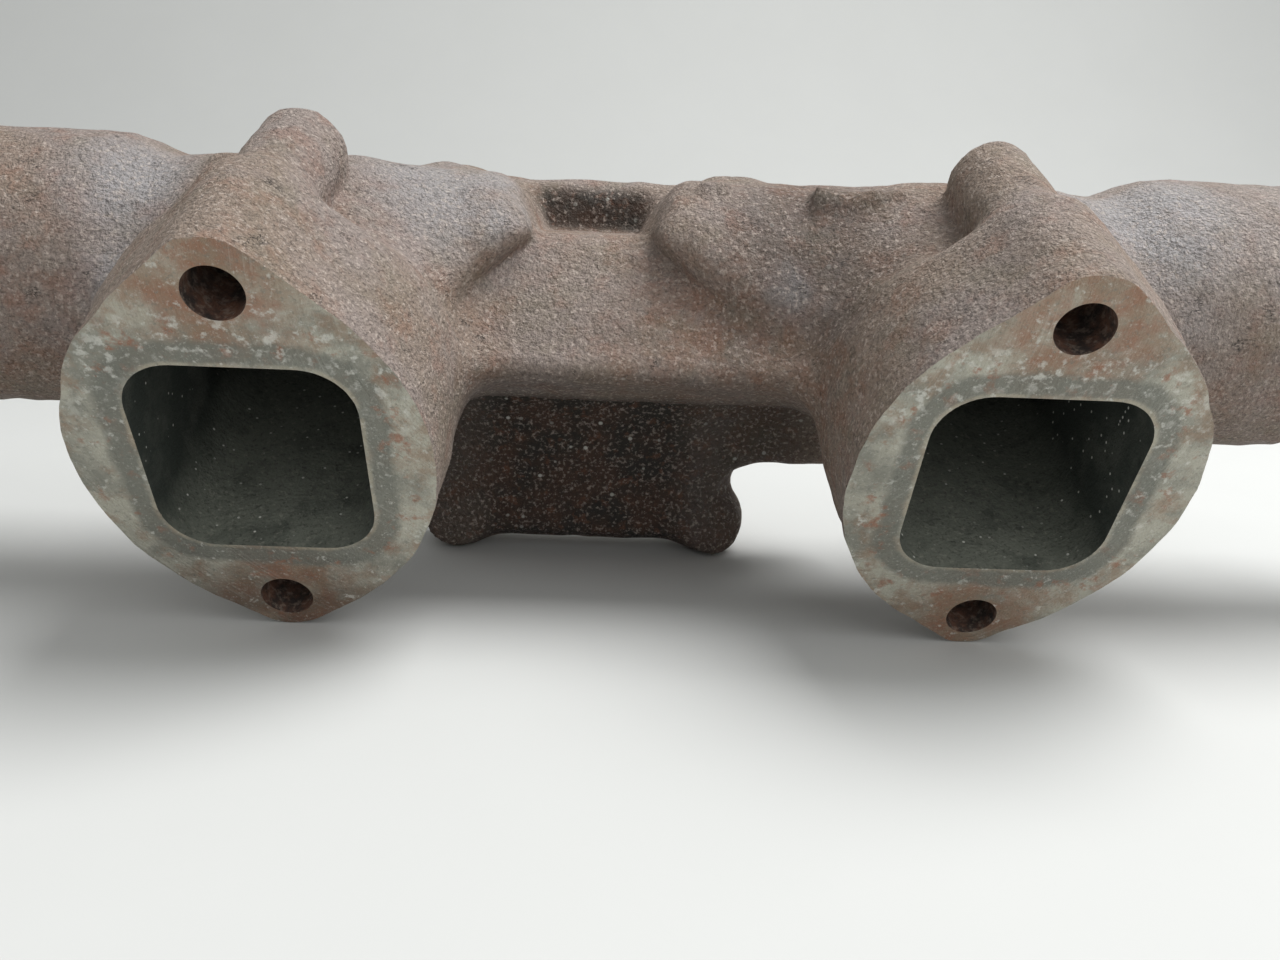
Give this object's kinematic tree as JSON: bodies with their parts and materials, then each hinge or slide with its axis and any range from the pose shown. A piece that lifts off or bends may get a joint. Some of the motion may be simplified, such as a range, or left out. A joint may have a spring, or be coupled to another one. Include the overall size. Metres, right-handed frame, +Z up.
{
  "type": "exhaust manifold",
  "caption": "Cast-iron exhaust manifold centre section with port flanges, bolt tubes, a divided turbocharger flange and sealed slip sleeves in its end sockets.",
  "frame": {"origin": "on the bench under the middle of the bounding box", "axes": "+X along the log towards the right-hand socket, +Y from the port flanges back to the turbo flange, +Z up"},
  "size_m": [0.434, 0.157, 0.111],
  "materials": {
    "casting": "rusted as-cast skin, machined port faces",
    "sleeve": "heat-darkened machined steel",
    "ring": "ground",
    "stud": "rolled thread, light rust"
  },
  "bodies": {
    "manifold": {"manifold_casting": "casting", "turbo_stud_1": "stud", "turbo_stud_2": "stud", "turbo_stud_3": "stud", "turbo_stud_4": "stud"},
    "left_ring_pack": {"left_socket_ring_1": "ring", "left_socket_ring_2": "ring", "left_socket_ring_3": "ring"},
    "left_sleeve": {"left_slip_sleeve": "sleeve", "left_outer_ring_1": "ring", "left_outer_ring_2": "ring", "left_outer_ring_3": "ring"},
    "right_ring_pack": {"right_socket_ring_1": "ring", "right_socket_ring_2": "ring", "right_socket_ring_3": "ring"},
    "right_sleeve": {"right_slip_sleeve": "sleeve", "right_outer_ring_1": "ring", "right_outer_ring_2": "ring", "right_outer_ring_3": "ring"}
  },
  "joints": [
    {"name": "left_slip", "type": "slide", "parent": "manifold", "child": "left_ring_pack", "axis": [-1, 0, 0], "range_m": [-0.0035, 0.01]},
    {"name": "left_turn", "type": "hinge", "parent": "left_ring_pack", "child": "left_sleeve", "pos_m": [-0.153, 0.00118, 0.074], "axis": [1, 0, 0], "continuous": true},
    {"name": "right_slip", "type": "slide", "parent": "manifold", "child": "right_ring_pack", "axis": [1, 0, 0], "range_m": [-0.0035, 0.01]},
    {"name": "right_turn", "type": "hinge", "parent": "right_ring_pack", "child": "right_sleeve", "pos_m": [0.153, 0.00118, 0.074], "axis": [1, 0, 0], "continuous": true}
  ]
}
